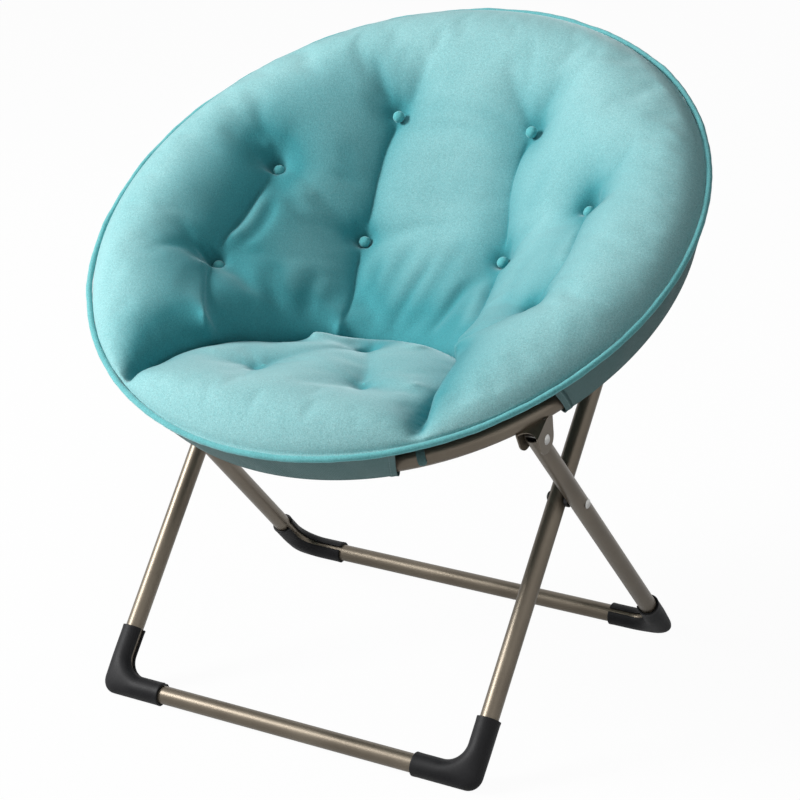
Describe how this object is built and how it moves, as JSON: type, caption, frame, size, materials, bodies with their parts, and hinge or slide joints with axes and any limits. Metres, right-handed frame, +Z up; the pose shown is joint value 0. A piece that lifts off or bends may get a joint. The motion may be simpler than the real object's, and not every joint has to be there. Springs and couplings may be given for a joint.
{
  "type": "folding saucer chair",
  "caption": "Folding saucer chair: a round tufted cushion on a hinged tube ring, carried by crossed U-shaped tube legs with moulded foot elbows.",
  "frame": {"origin": "on the floor, in the middle of the chair's width and depth", "axes": "+Z up, the sitter faces -Y, +X is the sitter's left"},
  "size_m": [0.7592, 0.6663, 0.7609],
  "materials": {
    "frame_tube": "satin bronze-taupe powder coat",
    "foot": "matte black moulded plastic",
    "spacer": "matte black washer",
    "rivet": "bright plated steel",
    "hinge": "zinc-plated steel",
    "cushion": "aqua suede cloth with a short nap",
    "tuft_button": "covered in the cushion's cloth",
    "piping": "corded edge in the cushion's cloth",
    "lining": "grey woven polyester"
  },
  "bodies": {
    "rear_frame": {"rear_leg_frame": "frame_tube", "rear_boot_left": "foot", "rear_boot_right": "foot", "scissor_rivet_left": "rivet", "scissor_rivet_right": "rivet"},
    "front_frame": {"front_leg_frame": "frame_tube", "front_boot_left": "foot", "front_boot_right": "foot", "scissor_spacer_left": "spacer", "scissor_spacer_right": "spacer", "back_pivot_pin_left": "rivet", "back_pivot_pin_right": "rivet"},
    "seat_arc": {"seat_ring_tube": "frame_tube", "seat_bracket_left": "frame_tube", "seat_bracket_right": "frame_tube", "seat_rivet_left": "rivet", "seat_rivet_right": "rivet", "hinge_fork_left": "hinge", "hinge_fork_right": "hinge", "hinge_pin_left": "hinge", "hinge_pin_right": "hinge", "cushion_seat": "cushion", "lining_seat": "lining", "piping_seat": "piping", "sleeve_front": "lining", "sleeve_left": "lining", "sleeve_right": "lining", "tab_left": "lining", "tab_right": "lining", "tuft_buttons_seat": "tuft_button"},
    "back_arc": {"back_ring_tube": "frame_tube", "back_bracket_left": "frame_tube", "back_bracket_right": "frame_tube", "back_rivet_heads_left": "rivet", "back_rivet_heads_right": "rivet", "hinge_tongue_left": "hinge", "hinge_tongue_right": "hinge", "cushion_back": "cushion", "lining_back": "lining", "piping_back": "piping", "sleeve_back": "lining", "tuft_buttons_back": "tuft_button"}
  },
  "joints": [
    {"name": "seat_fold", "type": "hinge", "parent": "rear_frame", "child": "seat_arc", "pos_m": [0, -0.16332, 0.39252], "axis": [1, 0, 0], "range_deg": [0, 80.7]},
    {"name": "leg_scissor", "type": "hinge", "parent": "rear_frame", "child": "front_frame", "pos_m": [0, -0.05009, 0.27546], "axis": [1, 0, 0], "range_deg": [0, 66]},
    {"name": "ring_hinge", "type": "hinge", "parent": "seat_arc", "child": "back_arc", "pos_m": [0, 0.14321, 0.5964], "axis": [1, 0, 0], "range_deg": [-136.4, 0], "deforming": ["cushion_seat", "cushion_back", "lining_seat", "lining_back", "piping_seat", "piping_back", "sleeve_left", "sleeve_right"]}
  ],
  "couplings": [
    {"joint": "leg_scissor", "follows": "seat_fold", "ratio": 0.81707},
    {"joint": "ring_hinge", "follows": "seat_fold", "ratio": -1.6895}
  ]
}
